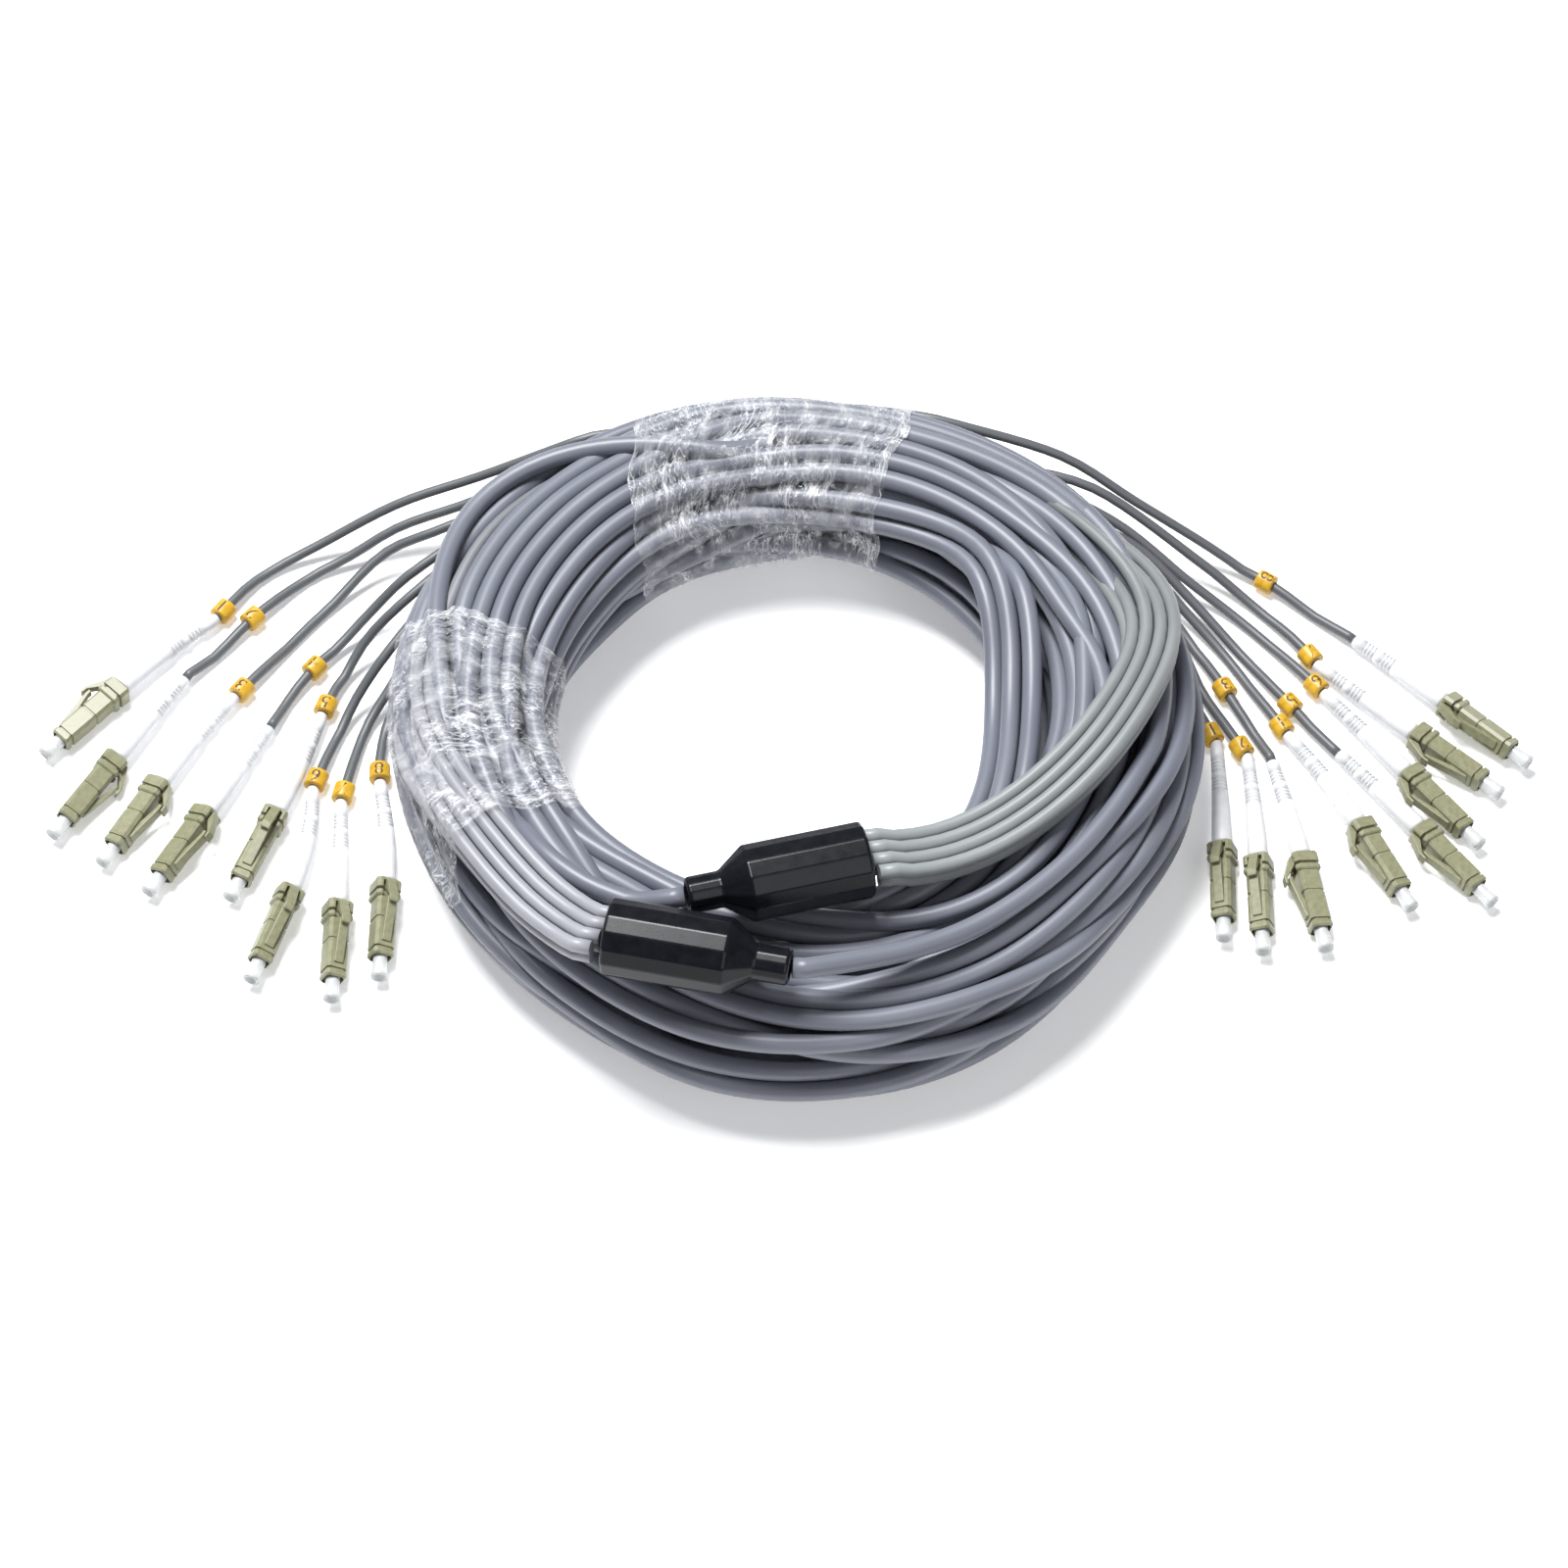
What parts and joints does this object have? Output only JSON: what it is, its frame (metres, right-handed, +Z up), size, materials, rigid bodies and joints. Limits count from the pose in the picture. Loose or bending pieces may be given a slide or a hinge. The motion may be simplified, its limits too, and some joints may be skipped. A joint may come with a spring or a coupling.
{
  "type": "fibre breakout cable",
  "caption": "Wound round coil of grey fibre trunk cable that splits at each end, through a black breakout housing, into thin legs with capped square connectors.",
  "frame": {"origin": "middle of the wound coil, on the floor that it lies on", "axes": "+Z up through the coil's bore, -Y towards the side that the two fans of legs open to, +X to the right"},
  "size_m": [0.3174, 0.1693, 0.0478],
  "materials": {
    "jacket": "satin grey cable jacket",
    "housing": "glossy black",
    "connector": "satin olive beige",
    "film": "clear wrinkled stretch film",
    "cap": "milky translucent",
    "boot": "satin white",
    "marker": "golden yellow sleeve"
  },
  "bodies": {
    "root": {"trunk_coil": "jacket", "trunk_tail_a": "jacket", "trunk_tail_b": "jacket", "leg_bundle_a": "jacket", "leg_bundle_b": "jacket", "breakout_a": "housing", "breakout_b": "housing", "film_wrap_back": "film", "film_wrap_left": "film", "leg_left_1": "jacket", "leg_left_2": "jacket", "leg_left_3": "jacket", "leg_left_4": "jacket", "leg_left_5": "jacket", "leg_left_6": "jacket", "leg_left_7": "jacket", "leg_left_8": "jacket", "leg_right_1": "jacket", "leg_right_2": "jacket", "leg_right_3": "jacket", "leg_right_4": "jacket", "leg_right_5": "jacket", "leg_right_6": "jacket", "leg_right_7": "jacket", "leg_right_8": "jacket", "lc_connector_left_1": "connector", "lc_connector_left_2": "connector", "lc_connector_left_3": "connector", "lc_connector_left_4": "connector", "lc_connector_left_5": "connector", "lc_connector_left_6": "connector", "lc_connector_left_7": "connector", "lc_connector_left_8": "connector", "lc_connector_right_1": "connector", "lc_connector_right_2": "connector", "lc_connector_right_3": "connector", "lc_connector_right_4": "connector", "lc_connector_right_5": "connector", "lc_connector_right_6": "connector", "lc_connector_right_7": "connector", "lc_connector_right_8": "connector", "dust_cap_left_1": "cap", "dust_cap_left_2": "cap", "dust_cap_left_3": "cap", "dust_cap_left_4": "cap", "dust_cap_left_5": "cap", "dust_cap_left_6": "cap", "dust_cap_left_7": "cap", "dust_cap_left_8": "cap", "dust_cap_right_1": "cap", "dust_cap_right_2": "cap", "dust_cap_right_3": "cap", "dust_cap_right_4": "cap", "dust_cap_right_5": "cap", "dust_cap_right_6": "cap", "dust_cap_right_7": "cap", "dust_cap_right_8": "cap"}
  },
  "joints": []
}
